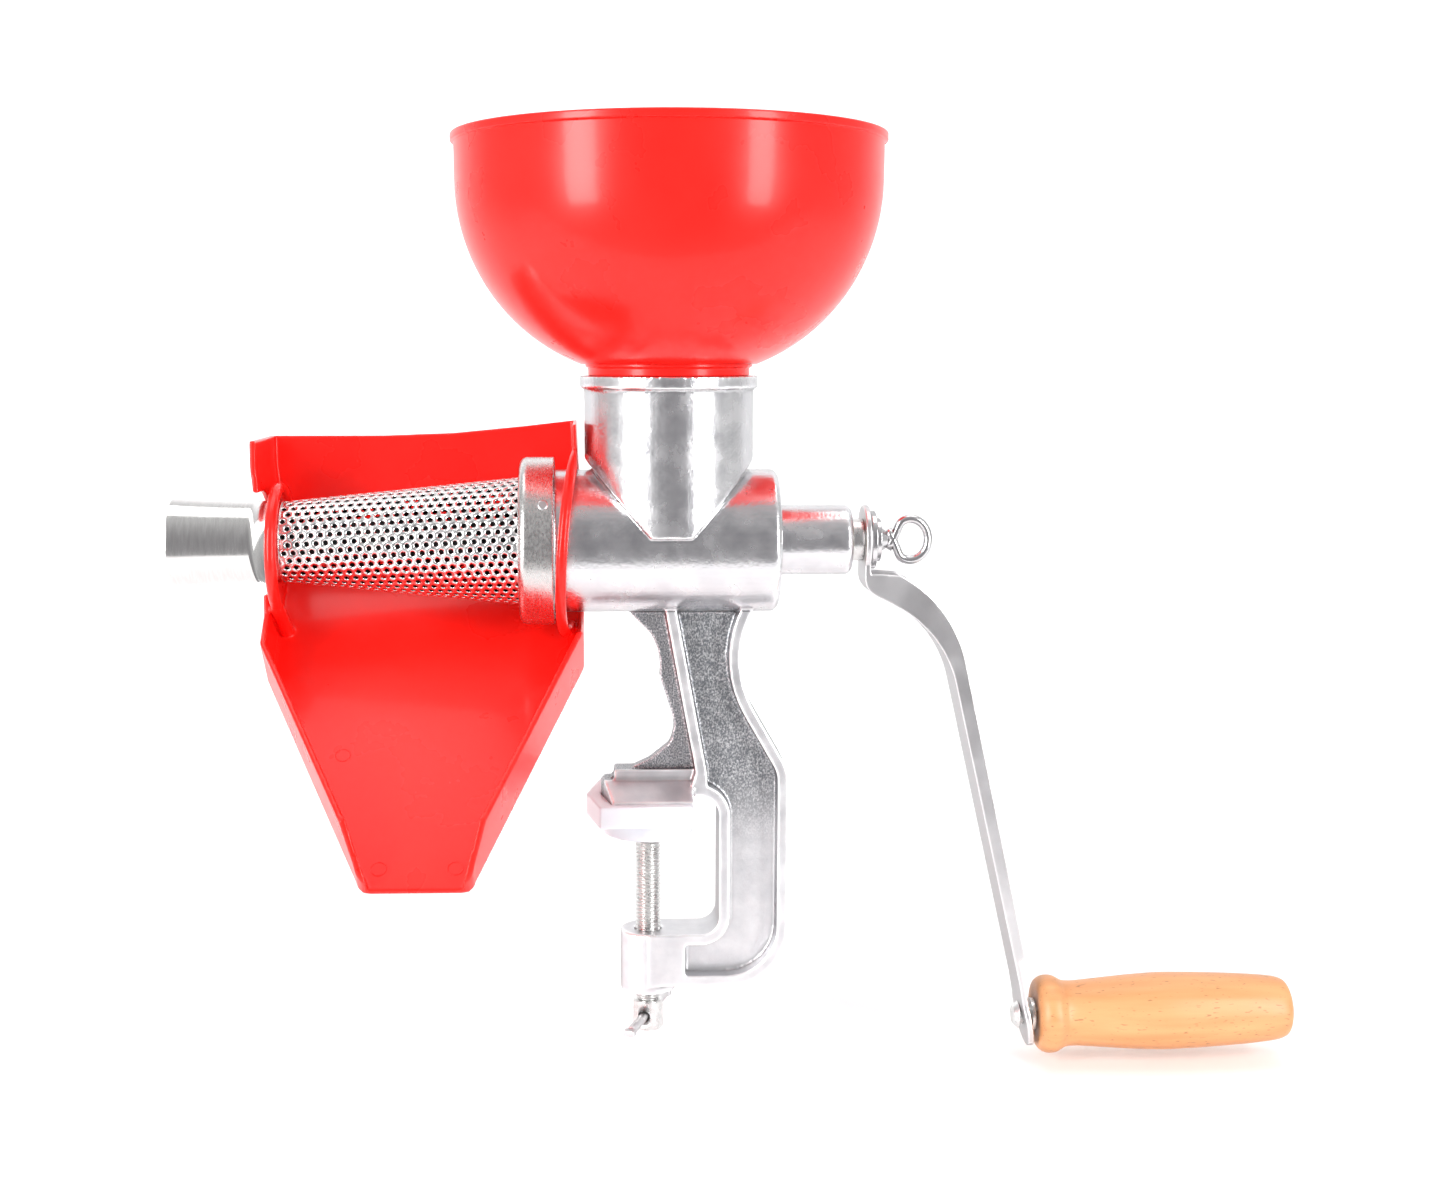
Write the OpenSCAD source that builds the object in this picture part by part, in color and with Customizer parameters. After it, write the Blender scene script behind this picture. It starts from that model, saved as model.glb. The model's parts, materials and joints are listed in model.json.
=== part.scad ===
// Hand-cranked tomato strainer with a table clamp, in millimetres, +Z up.
// Origin: on the clamp screw's axis, on the table plane under the upper jaw.
// +X runs along the barrel towards the crank, -Y is the side the chute pours to.

/* [Barrel and throat] */
// Height of the barrel axis above the table plane
axis_z = 106; // [100:0.5:115]
// Outside radius of the barrel
barrel_r = 26.9; // [26.6:0.1:27.8]
// Bore radius of the barrel
barrel_bore = 24.4; // [24.2:0.1:24.6]
// Right end of the barrel
barrel_x1 = 48.7; // [47.6:0.1:51]
// Outside radius of the hub that holds the shaft
hub_r = 13.2; // [12.6:0.1:15]
// Right end of the hub
hub_x1 = 76.9; // [75:0.1:78]
// Position of the throat and hopper axis along the barrel
throat_x = 7.9; // [6:0.1:10]
// Outside radius of the throat
throat_r = 31.7; // [31.5:0.1:32.4]
// Bore radius of the throat
throat_bore = 28.9; // [28.8:0.1:29]
// Top of the throat
throat_z = 168; // [164:0.5:178]

/* [Hopper] */
// Outside radius of the bowl
bowl_r = 79; // [76:0.5:84]
// Radius of the bowl's curved side
bowl_curve_r = 72; // [66:0.5:73]
// Height of the bowl's widest point above the throat
bowl_rise = 71.5; // [70:0.5:75]
// Top of the bowl rim above its widest point
rim_rise = 16.5; // [12:0.5:22]
// Wall thickness of the bowl
bowl_wall = 2.2; // [1.8:0.1:3]

/* [Strainer] */
// Outside radius of the cone at its small end
cone_r0 = 15; // [14.8:0.1:15.4]
// Outside radius of the cone at its large end
cone_r1 = 24.1; // [23.8:0.1:24.4]
// Small end of the cone along X
cone_x0 = -137.6; // [-140:0.1:-136.4]
// Large end of the cone along X
cone_x1 = -47.2; // [-48:0.1:-46.8]
// Sheet thickness of the cone
cone_wall = 0.6; // [0.5:0.1:0.8]
// Outside radius of the bayonet collar
collar_r = 31.6; // [31.4:0.1:31.7]
// Left end of the bayonet collar
collar_x0 = -47.6; // [-48:0.1:-47.4]
// Right end of the bayonet collar
collar_x1 = -35.1; // [-35.8:0.1:-34.9]
// Outer end of the waste spout
spout_x0 = -177.5; // [-186:0.1:-170]
// Outside radius of the waste spout's flared end
spout_r0 = 16.9; // [16.2:0.1:17.2]

/* [Guard] */
// Wall thickness of the splash guard
guard_wall = 2.2; // [1.8:0.1:2.6]
// Inner face of the guard's back wall
guard_back_y = 34.2; // [33.8:0.1:36]
// Slope of the chute floor below level
chute_slope = 41; // [36:1:45]
// Height of the chute's side walls above its floor
chute_side_h = 23; // [18:1:25]
// Length of the chute floor from the end of its bend
chute_len = 132.5; // [115:0.5:138]

/* [Crank] */
// Width of the crank arm along Y
arm_w = 20; // [18:0.5:23]
// Depth of the crank arm's channel
arm_depth = 5.2; // [4.6:0.1:6]
// Sheet thickness of the crank arm
arm_t = 2.3; // [2:0.1:2.6]
// Lean of the grip's axis above level
grip_lean = 0.8; // [0:0.1:3]
// Length of the grip
grip_len = 100.4; // [90:0.2:110]
// Largest radius of the grip's barrel
grip_r = 15; // [13.8:0.1:15.6]

/* [Clamp] */
// Outside width of the clamp frame's flanges along Y
frame_w = 22; // [19:0.5:24]
// Thickness of the clamp frame's web
web_w = 7.5; // [6:0.5:10]
// Outside radius of the clamp screw's thread
screw_r = 4.9; // [4.9:0.1:5]
// Radius of the threaded boss
boss_r = 10.6; // [10:0.1:12]
// Radius of the pressure pad
pad_r = 17.1; // [16:0.1:18.5]

/* [Hidden] */
$fn = 96;
e = 0.01;
barrel_x0 = collar_x1 - 0.8;
flange_r = collar_r - 1.4;
flange_x0 = cone_x1 + 1.4;
rivet_x = (collar_x0 + collar_x1) / 2 + 2.4;
jaw_z = 9.5;
wall_x = barrel_x1 - 3.2;
bush_r = 10;
journal_r = 8;
drive_sq = 10;
shaft_x1 = 81.5;
rim_z = throat_z + bowl_rise + rim_rise;
bowl_z = throat_z + bowl_rise;
arm_x0 = shaft_x1;
eye_r = 13.1;
bend_r = 7.6;
bend_z = 92.3;
bend_turn = 62;
elbow_r = 44.7;
elbow_x = 73.2;
elbow_z = 41.6;
arm_lean = 12.6;
pin_x = 148.4;
arm_end_z = -57;
pin_z = -82.5;
chute_end_h = 7;
floor_side = guard_back_y + guard_wall;

// Points along an arc, from angle a0 to angle a1.
function arc(cx, cy, r, a0, a1, n) =
  [for (i = [0:n]) [cx + r * cos(a0 + (a1 - a0) * i / n), cy + r * sin(a0 + (a1 - a0) * i / n)]];

// A solid of constant section in the X-Z plane, w wide and centred on Y = 0.
module slab_xz(w) {
  rotate([90, 0, 0])
    linear_extrude(height = w, center = true)
      children();
}

// A solid of constant section in the Y-Z plane, from x0 to x1.
module slab_yz(x0, x1) {
  translate([x0, 0, 0])
    rotate([90, 0, 90])
      linear_extrude(height = x1 - x0)
        children();
}

// A round bar or cone on the barrel's axis, from x0 to x1.
module on_axis(x0, x1, r0, r1) {
  translate([x0, 0, axis_z])
    rotate([0, 90, 0])
      cylinder(h = x1 - x0, r1 = r0, r2 = r1);
}

// A turned shape on the barrel's axis: the profile's x is the radius, its y is X.
module turned() {
  translate([0, 0, axis_z])
    rotate([0, 90, 0])
      rotate_extrude()
        children();
}

// ---------------------------------------------------------------- casting

// Outline of the clamp frame, drawn d inside its edge.
module frame_outline(d) {
  polygon(concat(
    [[5.4 + 1.02 * d, 85.2], [17.9 + 1.02 * d, 18.2]],
    d > 0 ? [] : [[15, jaw_z]],
    arc(18.4, 1, 8.5 + d, d > 0 ? 72 : 90, 0, 8),
    arc(20, -38.4, 6.9 + d, 0, -90, 8),
    [[d > 0 ? 14 : 0, -45.3 - d], [d > 0 ? 14 : 0, -65.9 + d]],
    arc(30, -42.5, 23.4 - d, -90, 0, 12),
    arc(36.2, 14.1, 17.2 - d, 0, 28.8, 5),
    arc(74.2, 62.1, 39.6 + d, 208.8, 146, 10)
  ));
}

// Web between the frame's inner rib, the barrel and the upper jaw.
module jaw_web_outline() {
  polygon(concat(
    [[-8.5, 83.8], [-6.1, 78]],
    arc(-20, 57.9, 24.6, 32, -8, 6),
    arc(-5.7, 35.4, 15.5, 15, -28, 5),
    [[0.4, 22.1], [-14.4, 15.4], [-14.4, 12], [23.2, 12], [9.6, 83.8]]
  ));
}

// Upper jaw: a five-sided plate with a sloping top and a rib along its middle.
module jaw() {
  intersection() {
    translate([0, 0, 2])
      linear_extrude(height = 30)
        polygon([[-18.1, 0], [-13.9, -19.3], [16.8, -19.3], [16.8, 19.3], [-13.9, 19.3]]);
    slab_yz(-30, 30)
      polygon([[-20, 2], [20, 2], [20, 8.8], [6, 14.6], [-6, 14.6], [-20, 8.8]]);
  }
  translate([-13.1, -6, 14])
    cube([33, 12, 4.6]);
}

// Lower half of the throat, cut to a blunt V where it runs into the barrel.
module throat_v(d, r) {
  intersection() {
    translate([throat_x, 0, axis_z - 10])
      cylinder(h = throat_z - axis_z + 10, r = r);
    slab_xz(3 * r)
      polygon([
        [throat_x - throat_r + d - 1, throat_z + 1],
        [throat_x - throat_r + d - 1, axis_z + 32.5 + d],
        [throat_x - 7.5 + d, axis_z + 3.5 + d],
        [throat_x + 7.5 - d, axis_z + 3.5 + d],
        [throat_x + throat_r - d + 1, axis_z + 32.5 + d],
        [throat_x + throat_r - d + 1, throat_z + 1],
      ]);
  }
}

module body_casting() {
  color([0.80, 0.81, 0.82])
    difference() {
      union() {
        on_axis(barrel_x0, barrel_x1 - 1.6, barrel_r, barrel_r);
        on_axis(barrel_x1 - 1.6 - e, barrel_x1, barrel_r, barrel_r - 1.6);
        on_axis(flange_x0, barrel_x0 + 0.5, flange_r, flange_r);
        on_axis(barrel_x1 - e, hub_x1 - 1.5, hub_r, hub_r);
        on_axis(hub_x1 - 1.5 - e, hub_x1, hub_r, hub_r - 1.5);
        throat_v(0, throat_r);
        translate([throat_x, 0, throat_z - 4.4])
          cylinder(h = 4.4, r = throat_r + 1.6);
        slab_xz(web_w)
          frame_outline(0);
        slab_xz(frame_w)
          difference() {
            frame_outline(0);
            frame_outline(4.2);
          }
        slab_xz(6)
          jaw_web_outline();
        jaw();
        translate([0, 0, -69.2])
          cylinder(h = 23.9, r = boss_r);
      }
      on_axis(flange_x0 - 1, wall_x, barrel_bore, barrel_bore);
      on_axis(wall_x - 1, hub_x1 + 1, bush_r + 0.02, bush_r + 0.02);
      throat_v(3.4, throat_bore);
      translate([throat_x, 0, throat_z - 12])
        cylinder(h = 14, r = throat_bore);
      translate([0, 0, -72])
        cylinder(h = 30, r = screw_r + 0.1);
      for (a = [0:120:240])
        translate([0, 0, axis_z])
          rotate([a - 60, 0, 0])
            translate([flange_x0 - 1, -2.5, barrel_r + 0.9])
              cube([rivet_x + 3.4 - flange_x0, 5, 6]);
    }
}

// ---------------------------------------------------------------- clamp

module jaw_pad() {
  color([0.93, 0.92, 0.93])
    difference() {
      linear_extrude(height = 8.4)
        polygon([[-23.7, 0], [-18.7, -23.7], [16, -23.7], [16, 23.7], [-18.7, 23.7]]);
      translate([0, 0, 2])
        linear_extrude(height = 8)
          polygon([[-18.2, 0], [-14, -19.4], [17, -19.4], [17, 19.4], [-14, 19.4]]);
    }
}

module pressure_disc() {
  color([0.66, 0.67, 0.68])
    translate([0, 0, -6.6])
      difference() {
        union() {
          cylinder(h = 3.4, r = pad_r - 2.2);
          translate([0, 0, -2.6])
            cylinder(h = 2.7, r = 8);
        }
        translate([0, 0, -3])
          cylinder(h = 7, r = 3.6);
        translate([0, 0, 1.6])
          cylinder(h = 3, r = 6.1);
      }
}

module pressure_pad() {
  color([0.93, 0.92, 0.93])
    difference() {
      translate([0, 0, -7])
        cylinder(h = 6.8, r = pad_r);
      translate([0, 0, -8])
        cylinder(h = 4.8, r = pad_r - 2.18);
    }
}

module clamp_screw() {
  color([0.66, 0.67, 0.68])
    difference() {
      union() {
        translate([0, 0, -5])
          cylinder(h = 1.4, r = 5.6);
        translate([0, 0, -9.4])
          cylinder(h = 5, r = 3.52);
        translate([0, 0, -75])
          cylinder(h = 65.7, r = screw_r);
        translate([0, 0, -84.4])
          cylinder(h = 10.6, r = 5.8);
        translate([0, 0, -85.4])
          cylinder(h = 1.01, r1 = 4.8, r2 = 5.8);
      }
      translate([0, 0, -79.6])
        rotate([90, 0, -19])
          cylinder(h = 30, r = 2.4, center = true);
    }
}

module tommy_bar() {
  color([0.70, 0.71, 0.72])
    translate([0, 0, -79.6])
      rotate([0, 0, -19]) {
        rotate([90, 0, 0])
          cylinder(h = 44, r = 1.75, center = true);
        for (s = [-1, 1])
          translate([0, s * 23.4, 0])
            cube([4.4, 3, 2.2], center = true);
      }
}

// ---------------------------------------------------------------- hopper

module hopper_profile(d) {
  intersection() {
    union() {
      translate([bowl_r - bowl_curve_r, bowl_z])
        circle(r = bowl_curve_r - d, $fn = 180);
      translate([0, bowl_z - bowl_curve_r + d])
        square([bowl_r - bowl_curve_r, 2 * bowl_curve_r - 2 * d]);
      translate([0, bowl_z])
        square([bowl_r - d, rim_rise + 2 * d]);
    }
    square([bowl_r + 10, rim_z + 2 * d]);
  }
}

module hopper() {
  color([0.86, 0.10, 0.08])
    translate([throat_x, 0, 0])
      difference() {
        union() {
          rotate_extrude()
            intersection() {
              hopper_profile(0);
              translate([0, bowl_z - bowl_curve_r - 1])
                square([bowl_r + 10, bowl_curve_r + rim_rise + 1]);
            }
          translate([0, 0, rim_z - 3.2])
            cylinder(h = 3.2, r = bowl_r + 1.4);
          translate([0, 0, throat_z + 0.2])
            cylinder(h = 9, r = throat_r - 1.5);
          translate([0, 0, throat_z + 5.4])
            cylinder(h = 2, r = throat_r - 0.4);
          translate([0, 0, throat_z - 11.6])
            cylinder(h = 20, r = throat_bore - 0.06);
        }
        rotate_extrude()
          intersection() {
            hopper_profile(bowl_wall);
            translate([0, bowl_z - bowl_curve_r + bowl_wall])
              square([bowl_r + 10, bowl_curve_r + rim_rise + 2]);
          }
        translate([0, 0, throat_z - 13])
          cylinder(h = 40, r = throat_bore - 2.6);
      }
}

// ---------------------------------------------------------------- drive

module bearing_bush() {
  color([0.72, 0.56, 0.30])
    difference() {
      on_axis(barrel_x1 + 4.4, hub_x1 - 0.2, bush_r, bush_r);
      on_axis(barrel_x1, hub_x1 + 1, journal_r + 0.05, journal_r + 0.05);
    }
}

module shaft_seal() {
  color([0.10, 0.10, 0.11])
    difference() {
      on_axis(wall_x + 0.4, barrel_x1 + 4.2, bush_r, bush_r);
      on_axis(wall_x, barrel_x1 + 5, journal_r + 0.06, journal_r + 0.06);
    }
}

module thrust_washer() {
  color([0.93, 0.92, 0.90])
    difference() {
      on_axis(wall_x - 1.9, wall_x - 0.3, 20, 20);
      on_axis(wall_x - 3, wall_x + 1, journal_r + 0.06, journal_r + 0.06);
    }
}

module drive_shaft() {
  color([0.55, 0.56, 0.57])
    difference() {
      union() {
        on_axis(wall_x - 2.2, shaft_x1, journal_r, journal_r);
        translate([4, -drive_sq / 2, axis_z - drive_sq / 2])
          cube([shaft_x1 + 2.6 - 4, drive_sq, drive_sq]);
      }
      on_axis(shaft_x1 - 12, shaft_x1 + 4, 4.04, 4.04);
    }
}

// One turn after another of the screw's flight, r0 to r1 wide.
module flight(x0, x1, r0, r1, turn) {
  translate([x0, 0, axis_z])
    rotate([0, 90, 0])
      rotate([0, 0, turn])
        linear_extrude(
          height = x1 - x0, twist = -360 * (x1 - x0) / 25,
          slices = round((x1 - x0) / 25 * 30), scale = r1 / r0, $fn = 8
        )
          polygon([[0, 0], for (a = [-18:9:18]) [r0 * cos(a), r0 * sin(a)]]);
}

module auger() {
  flight_r = cone_r1 - cone_wall - 0.9;
  tip_r = cone_r0 - cone_wall - 0.5;
  color([0.78, 0.79, 0.80])
    difference() {
      union() {
        on_axis(cone_x0 + 4.4, wall_x - 2.4, 7, 11);
        flight(cone_x0 + 5, cone_x1 - 0.3, tip_r, flight_r, 0);
        flight(cone_x1, wall_x - 7.5, flight_r, flight_r, 360 * (cone_x1 - cone_x0 - 5) / 25);
        on_axis(wall_x - 8, wall_x - 2.4, 15, 15);
      }
      translate([0, -drive_sq / 2 - 0.05, axis_z - drive_sq / 2 - 0.05])
        cube([wall_x, drive_sq + 0.1, drive_sq + 0.1]);
    }
}

// ---------------------------------------------------------------- strainer

module strainer_cone() {
  color([0.74, 0.75, 0.76])
    difference() {
      union() {
        on_axis(cone_x0, cone_x1, cone_r0, cone_r1);
        on_axis(cone_x1 - e, cone_x1 + 0.8, flange_r - 1.6, flange_r - 1.6);
      }
      on_axis(cone_x0 - e, cone_x1 + e, cone_r0 - cone_wall, cone_r1 - cone_wall);
      on_axis(cone_x1 - e, cone_x1 + 2, cone_r1 - cone_wall, cone_r1 - cone_wall);
    }
}

module strainer_collar() {
  color([0.70, 0.69, 0.69])
    turned()
      difference() {
        union() {
          translate([cone_r1 + 0.3, collar_x0 - 0.6])
            square([collar_r - cone_r1 - 3.3, cone_x1 - collar_x0 + 0.58]);
          translate([collar_r - 3, collar_x0 + 2.4])
            circle(r = 3, $fn = 64);
          translate([collar_r - 1.2, collar_x0 + 2.4])
            square([1.2, collar_x1 - collar_x0 - 2.4]);
        }
        translate([collar_r - 3, collar_x0 + 2.4])
          circle(r = 1.8, $fn = 64);
        translate([collar_r - 7, cone_x1 - 0.02])
          square([4, 10]);
        translate([collar_r - 4, collar_x0 + 2.4])
          square([2.8, 10]);
      }
}

module collar_rivets() {
  color([0.80, 0.80, 0.80])
    for (a = [0:120:240])
      translate([0, 0, axis_z])
        rotate([a - 60, 0, 0]) {
          translate([rivet_x, 0, collar_r - 3.4])
            cylinder(h = 3.5, r = 1.5);
          translate([rivet_x, 0, collar_r - 0.2])
            cylinder(h = 0.5, r1 = 2.2, r2 = 1.6);
        }
}

module strainer_gasket() {
  color([0.86, 0.85, 0.82])
    turned()
      translate([cone_r1 + 0.6, cone_x1 + 0.85])
        square([flange_r - cone_r1 - 1.4, 0.5]);
}

module waste_spout() {
  color([0.72, 0.72, 0.71])
    difference() {
      union() {
        on_axis(spout_x0, cone_x0 - 8, spout_r0, cone_r0 + 0.4);
        on_axis(cone_x0 - 8 - e, cone_x0 + 1.2, cone_r0 + 0.4, cone_r0 + 0.9);
      }
      on_axis(spout_x0 - e, cone_x0 - 8, spout_r0 - 0.9, cone_r0 - 0.6);
      on_axis(cone_x0 - 8.5, cone_x0, cone_r0 - 0.6, cone_r0 - 0.6);
      on_axis(cone_x0 - 0.1, cone_x0 + 1.3, cone_r0 + 0.02, cone_r0 + 0.14);
    }
}

// ---------------------------------------------------------------- guard

// Side view of the guard, drawn d inside: back wall, bend and sloping floor.
// Its open front and top are drawn "over" further out.
module guard_side(d, over) {
  r = guard_back_y + guard_wall - d;
  front_y = -9.5 - over;
  side_h = chute_side_h + over - floor_side;
  join_v = (front_y + side_h * sin(chute_slope)) / cos(chute_slope);
  translate([0, axis_z])
    polygon(concat(
      [[front_y, 60], [r, 60]],
      arc(0, 0, r, 0, chute_slope - 90, 14),
      [chute_point(-chute_len - over, -r),
       chute_point(-chute_len - over, chute_end_h + over - floor_side),
       chute_point(15 - chute_len, side_h), chute_point(join_v, side_h)]
    ));
}

// A point v up the chute's slope and h square to it, from the barrel's axis.
function chute_point(v, h) =
  [v * cos(chute_slope) - h * sin(chute_slope), v * sin(chute_slope) + h * cos(chute_slope)];

// The half plane above (side = 1) or below (side = -1) the guard's bend.
module bend_half(side) {
  translate([0, axis_z])
    rotate(chute_slope)
      translate([side > 0 ? 4 : -396, -200])
        square([400, 400]);
}

// Width of the guard seen square to its sloping floor, drawn d inside.
module chute_plan(d, over) {
  polygon(concat(
    [[-143.5 + d, 60], [-143.5 + d, -38]],
    over > 0
      ? [[-100.3 + d, -chute_len - 1], [-64.1 - d, -chute_len - 1]]
      : [[-103.2, 5 - chute_len], [-102.2, 2.4 - chute_len], [-100.4, 0.6 - chute_len],
         [-98, -chute_len], [-66.4, -chute_len], [-64, 0.6 - chute_len],
         [-62.4, 2.4 - chute_len], [-61.6, 5 - chute_len]],
    [[-24.3 - d, -32.8], [-24.3 - d, 60]]
  ));
}

// Width of the guard's upper half seen from the side it pours to, drawn d inside.
// It is a hair narrower than the chute where the two meet.
module guard_front(d, over) {
  polygon([
    [-143.4 + d, axis_z - 60], [-143.4 + d, axis_z - 8.5], [-147.2 + d, axis_z + 28.4],
    [-147.2 + d, axis_z + 38.2 + over], [-103, axis_z + 38.2 + over],
    [-75, axis_z + 39.2 + over], [-47, axis_z + 41.9 + over],
    [-26.9 - d, axis_z + 44.2 + over], [-24.4 - d, axis_z - 8.5], [-24.4 - d, axis_z - 60],
  ]);
}

// The guard's two halves, above and below its bend.
module guard_shape(d, over) {
  intersection() {
    slab_yz(-170, -20)
      intersection() {
        guard_side(d, over);
        bend_half(1);
      }
    slab_xz(200)
      guard_front(d, over);
  }
  intersection() {
    slab_yz(-170, -20)
      intersection() {
        guard_side(d, over);
        bend_half(-1);
      }
    translate([0, 0, axis_z])
      rotate([chute_slope, 0, 0])
        linear_extrude(height = 200, center = true)
          chute_plan(d, over);
  }
}

// A rod loop around the front of the strainer's small end: past its top it turns down
// to the guard's back wall, and its lower end runs straight down to the chute's floor.
module spout_loop(r, rod) {
  rotate([110, 0, 0])
    rotate([0, 90, 0])
      rotate_extrude(angle = 220)
        translate([r, 0])
          circle(r = rod, $fn = 40);
  translate([0, r * cos(20), r * sin(20)]) {
    sphere(r = rod + 0.3, $fn = 40);
    rotate([-90, 0, 0])
      cylinder(h = guard_back_y + 1 - r * cos(20), r = rod, $fn = 40);
  }
  translate([0, -r * cos(60), -r * sin(60)])
    rotate([-120, 0, 0])
      translate([0, 0, -0.5])
        cylinder(h = 29.8, r = rod + 0.3, $fn = 40);
}

// A half ring around the front of the strainer, with legs back to the guard's walls.
module guard_loop(r, rod, low_leg, top_leg) {
  difference() {
    rotate([0, 90, 0])
      rotate_extrude()
        translate([r, 0])
          circle(r = rod, $fn = 40);
    translate([-10, e, -60])
      cube([20, 60, 120]);
  }
  translate([0, -0.5, r])
    rotate([-90, 0, 0])
      cylinder(h = top_leg + 0.5, r = rod + 0.3, $fn = 40);
  translate([0, -0.5, -r])
    rotate([-90, 0, 0])
      cylinder(h = low_leg + 0.5, r = rod + 0.3, $fn = 40);
}

module splash_guard() {
  color([0.88, 0.12, 0.09]) {
    difference() {
      guard_shape(0, 0);
      guard_shape(guard_wall, 20);
      wall_notch(-150, -140.8, 19);
      wall_notch(-30, -20, collar_r + 0.9);
    }
    intersection() {
      union() {
        translate([-138.2, 0, axis_z - 3])
          spout_loop(23.2, 2.2);
        translate([-28.3, 0, axis_z])
          rotate([0, 4, -6])
            guard_loop(collar_r + 2.7, 2, 12.5, 36);
      }
      translate([-170, -60, 0])
        cube([143.5, floor_side + 59.3, 200]);
    }
  }
}

// Opening through an end wall, round behind the axis and open to the front.
module wall_notch(x0, x1, r) {
  on_axis(x0, x1, r, r);
  translate([x0, -40, axis_z - r])
    cube([x1 - x0, 40, 2 * r]);
}

// ---------------------------------------------------------------- crank

// Back of the crank arm's strip in side view, drawn d inside, from the eye to the pin.
function arm_back(d) = concat(
  [[arm_x0 + d, axis_z + 16]],
  arc(arm_x0 + bend_r, bend_z, bend_r - d, 180, 180 + bend_turn, 6),
  arc(elbow_x, elbow_z, elbow_r + d, bend_turn, arm_lean, 14),
  [[144 + 0.98 * d, -67 + 0.2 * d], [149.7 + 0.985 * d, pin_z - 15]]
);

// Front edge of the crank arm's flanges in side view, from the pin to the eye.
function arm_front(d) = concat(
  [[141.3 + 1.02 * arm_depth + d, arm_end_z]],
  arc(elbow_x - 1.2, elbow_z + 7.6, elbow_r + arm_depth + d, arm_lean, bend_turn, 14),
  [[88, 93.8 + d]]
);

// Crank arm seen along the barrel: eye, strip and rounded end.
module arm_outline() {
  translate([0, axis_z])
    circle(r = eye_r);
  translate([-arm_w / 2, pin_z])
    square([arm_w, axis_z - pin_z]);
  translate([0, pin_z])
    circle(r = 12);
}

function reversed(list) = [for (i = [len(list) - 1:-1:0]) list[i]];

module crank_arm() {
  color([0.80, 0.81, 0.82])
    difference() {
      union() {
        intersection() {
          slab_xz(40)
            polygon(concat(arm_back(0), reversed(arm_back(arm_t))));
          slab_yz(arm_x0 - 1, 170)
            arm_outline();
        }
        difference() {
          slab_xz(arm_w)
            intersection() {
              polygon(concat(arm_back(0), arm_front(0)));
              translate([76, arm_end_z])
                square([90, 93.8 - arm_end_z]);
            }
          slab_xz(arm_w - 2 * arm_t)
            polygon(concat(arm_back(arm_t), arm_front(4)));
        }
      }
      translate([arm_x0 - 5, -drive_sq / 2 - 0.05, axis_z - drive_sq / 2 - 0.05])
        cube([20, drive_sq + 0.1, drive_sq + 0.1]);
      translate([pin_x, 0, pin_z])
        rotate([0, 90 - grip_lean, 0])
          cylinder(h = 20, r = 3.52, center = true);
    }
}

module crank_washer() {
  color([0.70, 0.71, 0.72])
    difference() {
      on_axis(shaft_x1 + 2.7, shaft_x1 + 4.7, 11, 11);
      on_axis(shaft_x1 + 2, shaft_x1 + 6, 4.3, 4.3);
    }
}

module eye_screw() {
  color([0.72, 0.73, 0.74]) {
    on_axis(shaft_x1 - 10, shaft_x1 + 4.8, 4, 4);
    on_axis(shaft_x1 + 4.8, shaft_x1 + 6.7, 8.2, 8.2);
    on_axis(shaft_x1 + 6.7 - e, shaft_x1 + 9.6, 5, 3);
  }
}

module eye_loop() {
  color([0.72, 0.73, 0.74])
    translate([shaft_x1 + 17.4, 0, axis_z])
      rotate([90, 0, 0])
        rotate_extrude()
          translate([7.9, 0])
            circle(r = 1.9, $fn = 48);
}

module handle_pin() {
  color([0.62, 0.63, 0.64])
    translate([pin_x, 0, pin_z])
      rotate([0, 90 - grip_lean, 0]) {
        translate([0, 0, -3])
          cylinder(h = 95, r = 3.5);
        translate([0, 0, -4.7])
          cylinder(h = 2.2, r1 = 3.4, r2 = 5.4);
      }
}

module pin_washer() {
  color([0.62, 0.63, 0.64])
    translate([pin_x, 0, pin_z])
      rotate([0, 90 - grip_lean, 0])
        translate([0, 0, 2.2])
          difference() {
            cylinder(h = 1.3, r = 6.4);
            translate([0, 0, -1])
              cylinder(h = 4, r = 3.55);
          }
}

module wood_grip() {
  color([0.86, 0.68, 0.48])
    translate([pin_x, 0, pin_z])
      rotate([0, 90 - grip_lean, 0])
        translate([0, 0, 4.2])
          difference() {
            rotate_extrude()
              polygon([
                [0, 0], [11, 0], [13.4, 1.2], [14.9, 3.4], [15.2, 5.4], [14.9, 7.4],
                [13.9, 9.2], [13, 11], [12.7, 14], [12.8, 18], [13.3, 24],
                [13.9, 31], [14.5, 40], [grip_r, 50], [14.75, 60], [14.5, 68],
                [14.1, 76], [13.6, 84], [13, 91], [12.2, 96.4], [11, 99.4],
                [9.4, grip_len], [0, grip_len],
              ]);
            translate([0, 0, -1])
              cylinder(h = 120, r = 3.56);
          }
}

body_casting();
jaw_pad();
pressure_disc();
pressure_pad();
clamp_screw();
tommy_bar();
hopper();
bearing_bush();
shaft_seal();
thrust_washer();
drive_shaft();
auger();
strainer_cone();
strainer_collar();
collar_rivets();
strainer_gasket();
waste_spout();
splash_guard();
crank_arm();
crank_washer();
eye_screw();
eye_loop();
handle_pin();
pin_washer();
wood_grip();
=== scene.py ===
import json
import math

import bmesh
import bpy
from mathutils import Matrix, Vector


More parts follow.
